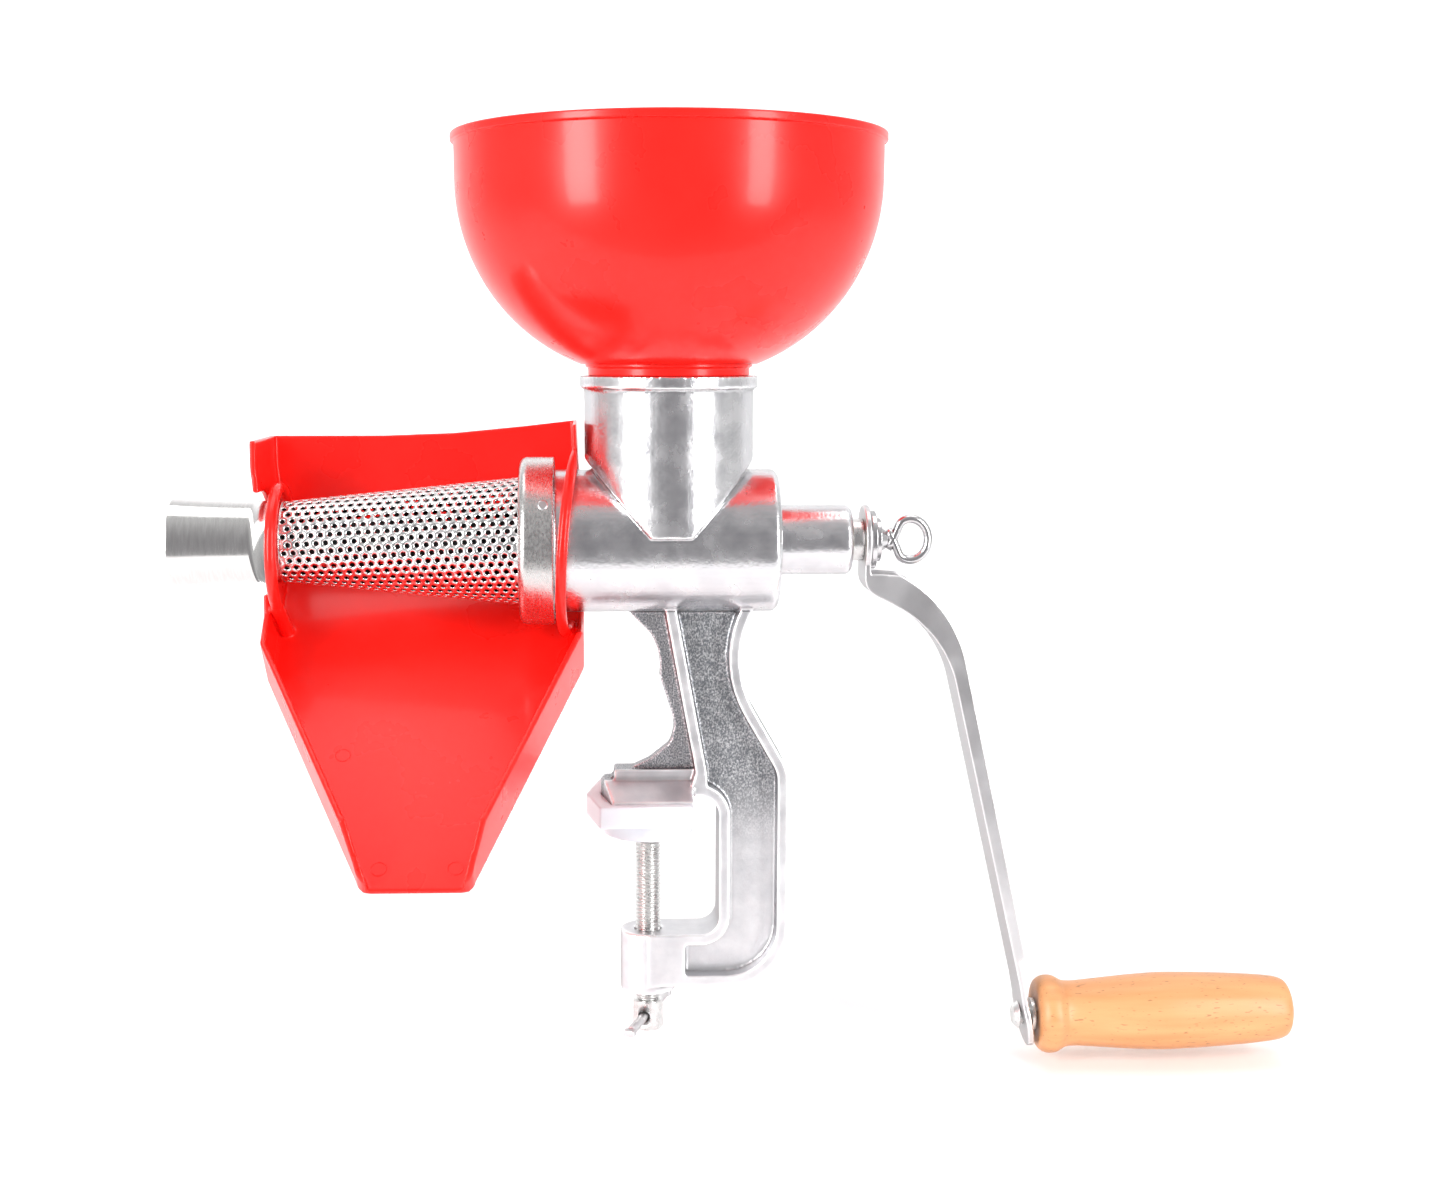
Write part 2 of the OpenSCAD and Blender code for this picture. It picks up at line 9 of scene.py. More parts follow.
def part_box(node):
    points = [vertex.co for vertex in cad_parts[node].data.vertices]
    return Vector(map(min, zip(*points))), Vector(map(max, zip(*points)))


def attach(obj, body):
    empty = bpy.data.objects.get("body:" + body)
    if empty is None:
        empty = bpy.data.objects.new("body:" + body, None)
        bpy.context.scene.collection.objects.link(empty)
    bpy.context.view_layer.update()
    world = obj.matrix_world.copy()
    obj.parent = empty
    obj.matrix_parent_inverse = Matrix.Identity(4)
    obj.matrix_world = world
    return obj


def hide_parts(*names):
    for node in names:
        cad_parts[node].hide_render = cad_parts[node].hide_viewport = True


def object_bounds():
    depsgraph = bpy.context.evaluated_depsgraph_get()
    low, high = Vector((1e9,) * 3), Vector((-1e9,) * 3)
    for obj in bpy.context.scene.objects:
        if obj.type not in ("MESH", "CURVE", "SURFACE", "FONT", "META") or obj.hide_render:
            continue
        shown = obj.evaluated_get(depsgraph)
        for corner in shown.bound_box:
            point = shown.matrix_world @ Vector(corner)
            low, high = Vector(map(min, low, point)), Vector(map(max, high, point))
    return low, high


MM = 0.001
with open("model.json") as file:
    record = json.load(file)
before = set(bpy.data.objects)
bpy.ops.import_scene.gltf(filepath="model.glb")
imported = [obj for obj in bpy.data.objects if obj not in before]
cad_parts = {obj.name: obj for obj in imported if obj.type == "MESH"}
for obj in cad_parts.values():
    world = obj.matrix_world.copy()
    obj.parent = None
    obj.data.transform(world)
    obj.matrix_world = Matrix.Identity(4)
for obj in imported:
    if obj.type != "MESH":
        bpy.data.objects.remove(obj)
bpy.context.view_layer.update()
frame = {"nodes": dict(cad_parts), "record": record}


# ------------------------------------------------------------ shader helpers

def object_coords(nt):
    return nt.nodes.new("ShaderNodeTexCoord").outputs["Object"]


def object_axes(nt):
    """Object coordinates, split into X, Y and Z."""
    axes = nt.nodes.new("ShaderNodeSeparateXYZ")
    nt.links.new(object_coords(nt), axes.inputs["Vector"])
    return axes.outputs


def stretched(nt, stretch):
    """Object coordinates, scaled by one factor for each axis."""
    mapping = nt.nodes.new("ShaderNodeMapping")
    mapping.inputs["Scale"].default_value = stretch
    nt.links.new(object_coords(nt), mapping.inputs["Vector"])
    return mapping.outputs["Vector"]


def noise(nt, vector, scale, detail):
    n = nt.nodes.new("ShaderNodeTexNoise")
    n.inputs["Scale"].default_value = scale
    n.inputs["Detail"].default_value = detail
    nt.links.new(vector, n.inputs["Vector"])
    return n.outputs["Fac"]


def map_range(nt, value, from_min, from_max, to_min=0.0, to_max=1.0):
    n = nt.nodes.new("ShaderNodeMapRange")
    n.inputs["From Min"].default_value = from_min
    n.inputs["From Max"].default_value = from_max
    n.inputs["To Min"].default_value = to_min
    n.inputs["To Max"].default_value = to_max
    nt.links.new(value, n.inputs["Value"])
    return n.outputs["Result"]


def calculate(nt, operation, *values):
    """A math node; each value is a socket or a number."""
    n = nt.nodes.new("ShaderNodeMath")
    n.operation = operation
    for socket, value in zip(n.inputs, values):
        if isinstance(value, (int, float)):
            socket.default_value = value
        else:
            nt.links.new(value, socket)
    return n.outputs["Value"]


def two_stop_ramp(nt, value, low, low_colour, high, high_colour):
    n = nt.nodes.new("ShaderNodeValToRGB")
    first, last = n.color_ramp.elements
    first.position, last.position = low, high
    first.color, last.color = (*low_colour, 1), (*high_colour, 1)
    nt.links.new(value, n.inputs["Fac"])
    return n.outputs["Color"]


def mix_colour(nt, factor, a, b):
    blend = nt.nodes.new("ShaderNodeMix")
    blend.data_type = "RGBA"
    nt.links.new(factor, blend.inputs["Factor"])
    nt.links.new(a, blend.inputs["A"])
    nt.links.new(b, blend.inputs["B"])
    return blend.outputs["Result"]


def scale_base_colour(m, level):
    """Multiplies what feeds a material's base colour by a level."""
    nt = m.node_tree
    base = nt.nodes["Principled BSDF"].inputs["Base Color"]
    scaled = nt.nodes.new("ShaderNodeVectorMath")
    scaled.operation = "SCALE"
    nt.links.new(base.links[0].from_socket, scaled.inputs[0])
    nt.links.new(level, scaled.inputs["Scale"])
    nt.links.new(scaled.outputs["Vector"], base)


# ------------------------------------------------------------ materials

TINT_DETAIL = 4.0
BUMP_DETAIL = 3.0
BUMP_DEPTH = 0.3 * MM


def material(name, light, dark, rough, metallic=0.0, grain=300.0, stretch=(1, 1, 1), bump=0.0,
             bump_grain=900.0, low=0.35, high=0.65):
    """A Principled material whose colour, roughness and surface vary with noise along the object."""
    m = bpy.data.materials.new(name)
    m.use_nodes = True
    nt = m.node_tree
    shader = nt.nodes["Principled BSDF"]
    shader.inputs["Metallic"].default_value = metallic
    vector = stretched(nt, stretch)
    cloud = noise(nt, vector, grain, TINT_DETAIL)
    tint = two_stop_ramp(nt, cloud, low, dark, high, light)
    tint.node.name = "tint"
    nt.links.new(tint, shader.inputs["Base Color"])
    gloss = map_range(nt, cloud, 0.3, 0.7, *rough)
    gloss.node.name = "gloss"
    nt.links.new(gloss, shader.inputs["Roughness"])
    if bump:
        height = nt.nodes.new("ShaderNodeBump")
        height.inputs["Strength"].default_value = bump
        height.inputs["Distance"].default_value = BUMP_DEPTH
        nt.links.new(noise(nt, vector, bump_grain, BUMP_DETAIL), height.inputs["Height"])
        nt.links.new(height.outputs["Normal"], shader.inputs["Normal"])
    return m


def painted_shade_and_highlight(m, darkest, start, edge=0.0):
    """Paints shade into a metal's colour where it turns away from the camera and, with edge, a painted
    highlight on its convex edges and painted shade in its concave ones, as under a wide soft light.
    """
    nt = m.node_tree
    turned = nt.nodes.new("ShaderNodeLayerWeight")
    turned.inputs["Blend"].default_value = 0.5
    # painted shade: the colour is darkest where the surface turns away from the camera
    level = map_range(nt, turned.outputs["Facing"], start, 0.96, 1.0, darkest)
    if edge:
        shape = nt.nodes.new("ShaderNodeNewGeometry")
        # painted highlight on convex edges, painted shade in concave creases
        crest = map_range(nt, shape.outputs["Pointiness"], 0.44, 0.56, 1.0 - edge, 1.0 + edge)
        level = calculate(nt, "MULTIPLY", level, crest)
    scale_base_colour(m, level)
    return m


def painted_hollow_shade(m, node):
    """Paints shade on the faces that look towards the node's own long axis: the hollow of the strainer is
    blackened as painted shade.
    """
    lo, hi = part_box(node)
    nt = m.node_tree
    radial = nt.nodes.new("ShaderNodeVectorMath")
    radial.operation = "MULTIPLY_ADD"
    radial.inputs[1].default_value = (0, 1, 1)
    radial.inputs[2].default_value = (0, -(lo.y + hi.y) / 2, -(lo.z + hi.z) / 2)
    nt.links.new(object_coords(nt), radial.inputs[0])
    unit = nt.nodes.new("ShaderNodeVectorMath")
    unit.operation = "NORMALIZE"
    nt.links.new(radial.outputs["Vector"], unit.inputs[0])
    outward = nt.nodes.new("ShaderNodeVectorMath")
    outward.operation = "DOT_PRODUCT"
    shape = nt.nodes.new("ShaderNodeNewGeometry")
    nt.links.new(unit.outputs["Vector"], outward.inputs[0])
    nt.links.new(shape.outputs["Normal"], outward.inputs[1])
    # painted shade: inward-facing faces are darkened to 0.04 of their colour
    scale_base_colour(m, map_range(nt, outward.outputs["Value"], -0.2, 0.5, 0.04))
    return m


def cast_aluminium():
    """Bright barrel and flanges; the recessed web is sand-rough, sparkles and is darker: grit of its own,
    with painted shade that is full towards its top and fades out below.
    """
    web_half, web_fade = 5.4 * MM, 4.6 * MM
    shade_full_from, shade_gone_below = 16 * MM, -12 * MM
    barrel_bottom = 80 * MM
    m = material("cast_aluminium", (0.81, 0.805, 0.82), (0.70, 0.70, 0.72), (0.20, 0.30), metallic=1.0,
                 grain=120, bump=0.25, bump_grain=700)
    nt = m.node_tree
    shader = nt.nodes["Principled BSDF"]
    axes = object_axes(nt)
    recess = map_range(nt, calculate(nt, "ABSOLUTE", axes["Y"]), web_half, web_fade)
    # Painted shade: the web's darker grit is blended in fully above 16 mm and fades out towards -12 mm.
    shade_towards_top = map_range(nt, axes["Z"], shade_gone_below, shade_full_from, 0.03)
    frame_part = calculate(nt, "LESS_THAN", axes["Z"], barrel_bottom)
    web = calculate(nt, "MULTIPLY", recess, calculate(nt, "MULTIPLY", shade_towards_top, frame_part))
    grit = noise(nt, stretched(nt, (1, 1, 0.7)), 2000, 2.0)
    sparkle = two_stop_ramp(nt, grit, 0.42, (0.24, 0.25, 0.27), 0.78, (0.95, 0.95, 0.96))
    blend = mix_colour(nt, web, nt.nodes["tint"].outputs["Color"], sparkle)
    nt.links.new(blend, shader.inputs["Base Color"])
    rough = calculate(nt, "MULTIPLY_ADD", frame_part, 0.17, nt.nodes["gloss"].outputs["Result"])
    nt.links.new(rough, shader.inputs["Roughness"])
    return m


def red_plastic():
    m = material("red_plastic", (0.95, 0.015, 0.010), (0.92, 0.012, 0.008), (0.26, 0.31), grain=40,
                 bump=0.03, bump_grain=60)
    shader = m.node_tree.nodes["Principled BSDF"]
    shader.inputs["Subsurface Weight"].default_value = 0.12
    shader.inputs["Subsurface Radius"].default_value = (0.006, 0.001, 0.001)
    shader.inputs["Specular IOR Level"].default_value = 0.30
    shader.inputs["Coat Weight"].default_value = 0.16
    shader.inputs["Coat Roughness"].default_value = 0.10
    return m


def white_plastic():
    m = material("white_plastic", (0.80, 0.83, 0.87), (0.76, 0.78, 0.83), (0.28, 0.42), grain=60,
                 bump=0.05, bump_grain=300)
    shader = m.node_tree.nodes["Principled BSDF"]
    shader.inputs["Subsurface Weight"].default_value = 0.5
    shader.inputs["Subsurface Radius"].default_value = (0.008, 0.007, 0.0075)
    return m


def beech():
    """Pale steamed beech: long soft grain with the short dark flecks of its rays."""
    m = material("beech", (0.76, 0.36, 0.155), (0.62, 0.265, 0.10), (0.38, 0.50), grain=160,
                 stretch=(0.09, 1, 1), bump=0.12, bump_grain=700, low=0.30, high=0.70)
    nt = m.node_tree
    shader = nt.nodes["Principled BSDF"]
    grain = nt.nodes["tint"].outputs["Color"]
    rays = noise(nt, stretched(nt, (0.28, 1, 1)), 1150, 1.0)
    fleck = map_range(nt, rays, 0.66, 0.74, 0.0, 0.7)
    brown = nt.nodes.new("ShaderNodeHueSaturation")
    brown.inputs["Value"].default_value = 0.42
    nt.links.new(grain, brown.inputs["Color"])
    nt.links.new(mix_colour(nt, fleck, grain, brown.outputs["Color"]), shader.inputs["Base Color"])
    shader.inputs["Coat Weight"].default_value = 0.15
    shader.inputs["Coat Roughness"].default_value = 0.3
    return m


# Materials given darkest and start get painted shade where they turn away from the camera; those given edge
# also get painted highlights on convex edges and painted shade in concave ones.
LOOKS = {
    "cast_aluminium": painted_shade_and_highlight(cast_aluminium(), darkest=0.38, start=0.60, edge=0.60),
    "red_plastic": red_plastic(),
    "white_plastic": white_plastic(),
    # The strainer sheet gets painted shade on its inner, hollow side.
    "stainless_sheet": painted_hollow_shade(material(
        "stainless_sheet", (0.86, 0.86, 0.86), (0.74, 0.74, 0.74), (0.20, 0.32),
        metallic=1.0, grain=500, bump=0.08, bump_grain=1500), "strainer_cone"),
    "stainless_collar": painted_shade_and_highlight(material(
        "stainless_collar", (0.74, 0.73, 0.72), (0.62, 0.61, 0.60), (0.22, 0.34),
        metallic=1.0, grain=700, stretch=(2, 1, 1), bump=0.15, bump_grain=1400),
        darkest=0.55, start=0.7),
    "stainless_tube": painted_shade_and_highlight(material(
        "stainless_tube", (0.80, 0.79, 0.78), (0.74, 0.73, 0.72), (0.13, 0.20),
        metallic=1.0, grain=160, stretch=(8, 1, 1), bump=0.03, bump_grain=300),
        darkest=0.45, start=0.8),
    "zinc_steel": painted_shade_and_highlight(material(
        "zinc_steel", (0.72, 0.71, 0.72), (0.64, 0.63, 0.64), (0.30, 0.38),
        metallic=1.0, grain=60, bump=0.03, bump_grain=500),
        darkest=0.45, start=0.60, edge=0.40),
    "screw_steel": painted_shade_and_highlight(material(
        "screw_steel", (0.80, 0.80, 0.79), (0.68, 0.68, 0.67), (0.24, 0.34),
        metallic=1.0, grain=400, bump=0.03, bump_grain=900),
        darkest=0.5, start=0.7),
    "bronze": material("bronze", (0.66, 0.46, 0.20), (0.52, 0.34, 0.14), (0.35, 0.5), metallic=1.0),
    "black_rubber": material(
        "black_rubber", (0.02, 0.02, 0.02), (0.01, 0.01, 0.01), (0.6, 0.8), bump=0.2),
    "nylon": material("nylon", (0.84, 0.82, 0.77), (0.76, 0.74, 0.69), (0.35, 0.5), bump=0.1),
    "beech": beech(),
}
DULL_CASTING = material(
    "dull_casting", (0.10, 0.10, 0.105), (0.06, 0.06, 0.065), (0.55, 0.75),
    metallic=1.0, grain=300, bump=0.2)
# The bright wire gets strong painted shade where it turns away from the camera.
BRIGHT_WIRE = painted_shade_and_highlight(material(
    "bright_wire", (0.74, 0.73, 0.74), (0.66, 0.65, 0.66), (0.16, 0.24),
    metallic=1.0, grain=80, bump=0.03, bump_grain=500),
    darkest=0.22, start=0.35)
SLOT_OF = {p["node"]: p["material_slot"] for p in frame["record"]["subparts"]}
BODY_OF = {n: body for body, names in frame["record"]["behaviour"]["bodies"].items() for n in names}


# ------------------------------------------------------------ mesh helpers

def piece(name, bm, node):
    """Makes bm the object that stands for a CAD node: same body, same material slot."""
    mesh = bpy.data.meshes.new(name)
    bm.to_mesh(mesh)
    bm.free()
    for p in mesh.polygons:
        p.use_smooth = True
    mesh.materials.append(LOOKS[SLOT_OF[node]])
    o = bpy.data.objects.new(name, mesh)
    bpy.context.scene.collection.objects.link(o)
    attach(o, BODY_OF[node])
    return o


FILLET_STEPS = 5
SHORTEST = 1e-9


def filleted(points):
    """Rounds the corners of a closed outline of (r, h, radius)."""
    out = []
    n = len(points)
    for i, (x, y, rad) in enumerate(points):
        p = Vector((x, y))
        a = Vector(points[i - 1][:2]) - p
        b = Vector(points[(i + 1) % n][:2]) - p
        if rad <= 0 or a.length < SHORTEST or b.length < SHORTEST:
            out.append((x, y))
            continue
        turn = a.angle(b)
        cut = min(rad / math.tan(turn / 2), a.length * 0.49, b.length * 0.49)
        start, end = p + a.normalized() * cut, p + b.normalized() * cut
        for k in range(FILLET_STEPS + 1):
            t = k / FILLET_STEPS
            q = (1 - t) ** 2 * start + 2 * t * (1 - t) * p + t * t * end
            out.append((q.x, q.y))
    return out


def lathe(outline, place, segments):
    """Turns a closed outline of (r, h) in mm about its h axis; place puts each point in the frame."""
    bm = bmesh.new()
    rings = []
    for r, h in outline:
        ring = []
        for s in range(segments):
            a = 2 * math.pi * s / segments
            ring.append(bm.verts.new(place(r * math.cos(a), r * math.sin(a), h)))
        rings.append(ring)
    for a, b in zip(rings, rings[1:] + rings[:1]):
        for s in range(segments):
            t = (s + 1) % segments
            bm.faces.new((a[s], a[t], b[t], b[s]))
    bmesh.ops.recalc_face_normals(bm, faces=bm.faces)
    return bm


def upright(cx, cy):
    return lambda x, y, h: Vector(((cx + x) * MM, (cy + y) * MM, h * MM))


def along_x(cz):
    return lambda x, y, h: Vector((h * MM, x * MM, (cz + y) * MM))


def smooth_curve(points, per):
    """A Catmull-Rom curve through (r, h) points, with per steps between two of them."""
    out = []
    for i in range(len(points) - 1):
        p0, p1 = points[max(i - 1, 0)], points[i]
        p2, p3 = points[i + 1], points[min(i + 2, len(points) - 1)]
        for k in range(per):
            t = k / per
            out.append(tuple(
                0.5 * (2 * p1[j] + (p2[j] - p0[j]) * t + (2 * p0[j] - 5 * p1[j] + 4 * p2[j] - p3[j]) * t * t
                       + (3 * p1[j] - p0[j] - 3 * p2[j] + p3[j]) * t ** 3)
                for j in (0, 1)))
    out.append(tuple(points[-1]))
    return out


def tube(path, radius, closed=False, sides=16):
    """A round rod along a path of points in metres, with flat capped ends."""
    bm = bmesh.new()
    n = len(path)
    rings = []
    up = Vector((0, 1, 0))
    for i, p in enumerate(path):
        if closed:
            d = path[(i + 1) % n] - path[i - 1]
        else:
            d = path[min(i + 1, n - 1)] - path[max(i - 1, 0)]
        d.normalize()
        side = (up - d * up.dot(d)).normalized()
        other = d.cross(side)
        up = side
        rings.append([bm.verts.new(p + radius * (math.cos(2 * math.pi * k / sides) * side
                                                 + math.sin(2 * math.pi * k / sides) * other))
                      for k in range(sides)])
    for i in range(n if closed else n - 1):
        a, b = rings[i], rings[(i + 1) % n]
        for k in range(sides):
            j = (k + 1) % sides
            bm.faces.new((a[k], a[j], b[j], b[k]))
    if not closed:
        for ring, end in ((rings[0], path[0]), (rings[-1], path[-1])):
            tip = bm.verts.new(end)
            for k in range(sides):
                bm.faces.new((ring[k], ring[(k + 1) % sides], tip))
    bmesh.ops.recalc_face_normals(bm, faces=bm.faces)
    return bm


def box_mm(node):
    lo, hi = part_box(node)
    return lo / MM, hi / MM


# ------------------------------------------------------------ CAD nodes kept

WELD_DISTANCE = 0.02 * MM


def softened(node, voxel, rounds):
    """Rounds a CAD node's edges as a casting or moulding has them."""
    o = frame["nodes"][node]
    weld = o.modifiers.new("weld", "WELD")
    weld.merge_threshold = WELD_DISTANCE
    remesh = o.modifiers.new("remesh", "REMESH")
    remesh.mode = "VOXEL"
    remesh.voxel_size = voxel * MM
    remesh.use_smooth_shade = True
    relax = o.modifiers.new("relax", "SMOOTH")
    relax.factor = 0.5
    relax.iterations = rounds


def edged(node, width):
    """Bevels a CAD node's sharp edges."""
    o = frame["nodes"][node]
    weld = o.modifiers.new("weld", "WELD")
    weld.merge_threshold = WELD_DISTANCE
    bevel = o.modifiers.new("bevel", "BEVEL")
    bevel.width = width * MM
    bevel.segments = 2
    bevel.limit_method = "ANGLE"
    bevel.angle_limit = math.radians(28)
    normal = o.modifiers.new("normals", "WEIGHTED_NORMAL")
    normal.keep_sharp = True


for node, o in frame["nodes"].items():
    o.data.materials.clear()
    o.data.materials.append(LOOKS[SLOT_OF[node]])

SOFTENING = {  # node: voxel in mm, rounds of smoothing
    "body_casting": (0.6, 3),
    "crank_arm": (0.4, 6),
    "jaw_pad": (0.45, 6),
    "splash_guard": (0.55, 4),
    "tommy_bar": (0.25, 4),
    "crank_washer": (0.25, 2),
    "eye_screw": (0.25, 3),
    "handle_pin": (0.3, 2),
    "drive_shaft": (0.3, 1),
    "strainer_collar": (0.35, 3),
    "collar_rivets": (0.15, 3),
}
for node, (voxel, rounds) in SOFTENING.items():
    softened(node, voxel, rounds)
edged("auger", 0.2)
frame["nodes"]["auger"].data.materials[0] = DULL_CASTING
for node in ("crank_washer", "eye_screw"):
    frame["nodes"][node].data.materials[0] = BRIGHT_WIRE

# ------------------------------------------------------------ hopper

lo, hi = box_mm("hopper")
hop_x = (lo.x + hi.x) / 2
lip_r = (hi.x - lo.x) / 2
rim_z = hi.z
seat_z = lo.z + 11.6
plug_r = 28.8
neck_r = plug_r + 1.4
bowl_r = lip_r - 1.4
wall = 2.2
curve_r = bowl_r - 7
bowl_z = rim_z - 16.5
BOWL_STEPS = 40


def bowl(d, r_from):
    """Half outline of the bowl, d inside its outer face, from radius r_from up to the rim."""
    centre = bowl_r - curve_r
    r = curve_r - d
    a0 = -math.acos(max(-1, min(1, (r_from - centre) / r)))
    pts = []
    for k in range(BOWL_STEPS + 1):
        a = a0 * (1 - k / BOWL_STEPS)
        pts.append((centre + r * math.cos(a), bowl_z + r * math.sin(a)))
    return pts


outer = bowl(0, neck_r + 2.6)
inner = bowl(wall, plug_r - 2.6)
profile = filleted([
    (plug_r - 2.6, lo.z, 0.6), (plug_r, lo.z, 0.8), (plug_r, seat_z, 0.2),
    (neck_r, seat_z + 0.15, 0.4), (neck_r, seat_z + 3.0, 0.8), (neck_r + 1.0, seat_z + 3.4, 0.3),
    (neck_r + 1.0, seat_z + 4.4, 0.4), (neck_r + 0.4, seat_z + 4.9, 0.3),
    *[(r, h, 0) for r, h in outer],
    (bowl_r + 0.15, rim_z - 3.4, 0.3), (lip_r, rim_z - 3.0, 0.6), (lip_r, rim_z - 0.2, 0.9),
    (bowl_r - 0.6, rim_z, 0.9), (bowl_r - wall, rim_z - 0.8, 0.6),
    *[(r, h, 0) for r, h in reversed(inner)],
])
bm = lathe(profile, upright(hop_x, 0), 256)
hopper = piece("hopper_moulding", bm, "hopper")
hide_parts("hopper")

# ------------------------------------------------------------ strainer

lo, hi = box_mm("strainer_cone")
axis_z = (lo.z + hi.z) / 2
cone_x0, flange_x1 = lo.x, hi.x
cone_x1 = flange_x1 - 0.8
flange_r = (hi.z - lo.z) / 2
cone_r0, cone_r1 = 15.0, 24.1
sheet = 0.6
slope = math.atan((cone_r1 - cone_r0) / (cone_x1 - cone_x0))
near = cone_r0 / math.sin(slope)
far = cone_r1 / math.sin(slope)
sector = 2 * math.pi * math.sin(slope)
pitch = 3.55
hole_r = 0.98
margin = 1.2


def rolled(u, v):
    """A point of the flat sheet, rolled up into the cone."""
    s = min(max(math.hypot(u, v), near), far)
    turn = math.atan2(v, u) / math.sin(slope)
    turn = min(max(turn, -math.pi), math.pi)
    r = s * math.sin(slope)
    x = cone_x0 + (s - near) * math.cos(slope)
    return Vector((x * MM, -r * math.cos(turn) * MM, (axis_z + r * math.sin(turn)) * MM))


bm = bmesh.new()
corners = {}


def sheet_point(u, v):
    key = (round(u, 3), round(v, 3))
    if key not in corners:
        corners[key] = bm.verts.new(rolled(u, v))
    return corners[key]


tilt = math.radians(4)
reach_in = pitch * 0.55
CELL_SIDES = 12
MERGE_DISTANCE = 0.01 * MM
CELL_ROWS = 200
cell_step = 360 / CELL_SIDES
row_h = pitch * math.sqrt(3) / 2
for j in range(-CELL_ROWS, CELL_ROWS):
    for i in range(-CELL_ROWS, CELL_ROWS):
        a = (i + 0.5 * (j % 2)) * pitch
        b = j * row_h
        u = (near + far) / 2 + a * math.cos(tilt) - b * math.sin(tilt)
        v = a * math.sin(tilt) + b * math.cos(tilt)
        s, t = math.hypot(u, v), math.atan2(v, u)
        if not near - reach_in < s < far + reach_in or abs(t) * s > sector / 2 * s + reach_in:
            continue
        clear_of_ends = near + margin + hole_r < s < far - hole_r
        clear_of_seam = abs(t) * s < sector / 2 * s - margin - hole_r
        ring = []
        for k in range(CELL_SIDES):
            ang = tilt + math.radians(cell_step * k)
            reach = pitch / math.sqrt(3) if k % 2 else pitch / 2
            ring.append(sheet_point(u + reach * math.cos(ang), v + reach * math.sin(ang)))
        if clear_of_ends and clear_of_seam:
            angles = [tilt + math.radians(cell_step * k) for k in range(CELL_SIDES)]
            hole = [bm.verts.new(rolled(u + hole_r * math.cos(ang), v + hole_r * math.sin(ang)))
                    for ang in angles]
            for k in range(CELL_SIDES):
                q = (k + 1) % CELL_SIDES
                bm.faces.new((ring[k], ring[q], hole[q], hole[k]))
        elif len(set(ring)) == CELL_SIDES:
            bm.faces.new(ring)
bmesh.ops.remove_doubles(bm, verts=bm.verts, dist=MERGE_DISTANCE)
bmesh.ops.dissolve_degenerate(bm, dist=MERGE_DISTANCE, edges=bm.edges)
bmesh.ops.recalc_face_normals(bm, faces=bm.faces)
cone = piece("perforated_cone", bm, "strainer_cone")
thick = cone.modifiers.new("sheet", "SOLIDIFY")
thick.thickness = sheet * MM
thick.offset = -1
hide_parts("strainer_cone")

ring_profile = filleted([(cone_r1 - sheet, cone_x1, 0.1), (flange_r, cone_x1, 0.1),
                         (flange_r, flange_x1, 0.1), (cone_r1 - sheet, flange_x1, 0.1)])
bm = lathe(ring_profile, along_x(axis_z), 128)
piece("cone_flange", bm, "strainer_cone")

lo, hi = box_mm("waste_spout")
spout_r = (hi.z - lo.z) / 2
throat = cone_r0 + 0.4
straight_x = cone_x0 - 8
length = straight_x - lo.x
FLARE_STEPS = 16


def flare(d):
    """The spout's bell: nearly straight at first, then widening to its open end."""
    pts = []
    for k in range(FLARE_STEPS + 1):
        t = k / FLARE_STEPS
        r = throat - d + (spout_r - throat) * (0.35 * t + 0.65 * t ** 2.2)
        pts.append((r, straight_x - length * t))
    return pts


outside, inside = flare(0), flare(0.9)
profile = filleted([
    (cone_r0 + 0.9, hi.x, 0.2), (cone_r0 + 0.4, straight_x, 0),
    *[(r, x, 0) for r, x in outside[:-1]], (*outside[-1], 0.35), (*inside[-1], 0.3),
    *[(r, x, 0) for r, x in reversed(inside[:-1])],
    (cone_r0 - 0.6, cone_x0 - 0.2, 0), (cone_r0 + 0.1, cone_x0, 0), (cone_r0 + 0.2, hi.x, 0.1),
])
bm = lathe(profile, along_x(axis_z), 160)
spout = piece("flared_spout", bm, "waste_spout")
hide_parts("waste_spout")

# ------------------------------------------------------------ clamp screw

lo, hi = box_mm("clamp_screw")
crest, root = 4.9, 4.05
pitch_z = 1.5
turns_from, turns_to = hi.z - 5.8, lo.z + 11.8
bm = bmesh.new()
segments, per_turn = 48, 12
rows = int((turns_from - turns_to) / pitch_z * per_turn)
rings = []
for i in range(rows + 1):
    z = turns_from - (turns_from - turns_to) * i / rows
    ring = []
    for s in range(segments):
        a = s / segments
        phase = (z / pitch_z + a) % 1.0
        height = max(0.0, min(1.0, 1.25 - abs(phase - 0.5) * 3.0))
        ends = min(1.0, (turns_from - z) / pitch_z, (z - turns_to) / pitch_z)
        r = root + (crest - root) * height * max(ends, 0)
        turn = 2 * math.pi * a
        ring.append(bm.verts.new(Vector((r * math.cos(turn), r * math.sin(turn), z)) * MM))
    rings.append(ring)
for a, b in zip(rings, rings[1:]):
    for s in range(segments):
        t = (s + 1) % segments
        bm.faces.new((a[s], a[t], b[t], b[s]))
for ring in (rings[0], rings[-1]):
    bm.faces.new(ring)
bmesh.ops.recalc_face_normals(bm, faces=bm.faces)
thread = piece("clamp_thread", bm, "clamp_screw")
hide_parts("clamp_screw")

tip = filleted([(0.01, hi.z, 0), (5.5, hi.z, 0.3), (5.5, hi.z - 1.3, 0.3), (3.5, hi.z - 1.4, 0.2),
                (3.5, hi.z - 6, 0), (0.01, hi.z - 6, 0)])
piece("screw_tip", lathe(tip, upright(0, 0), 64), "clamp_screw")

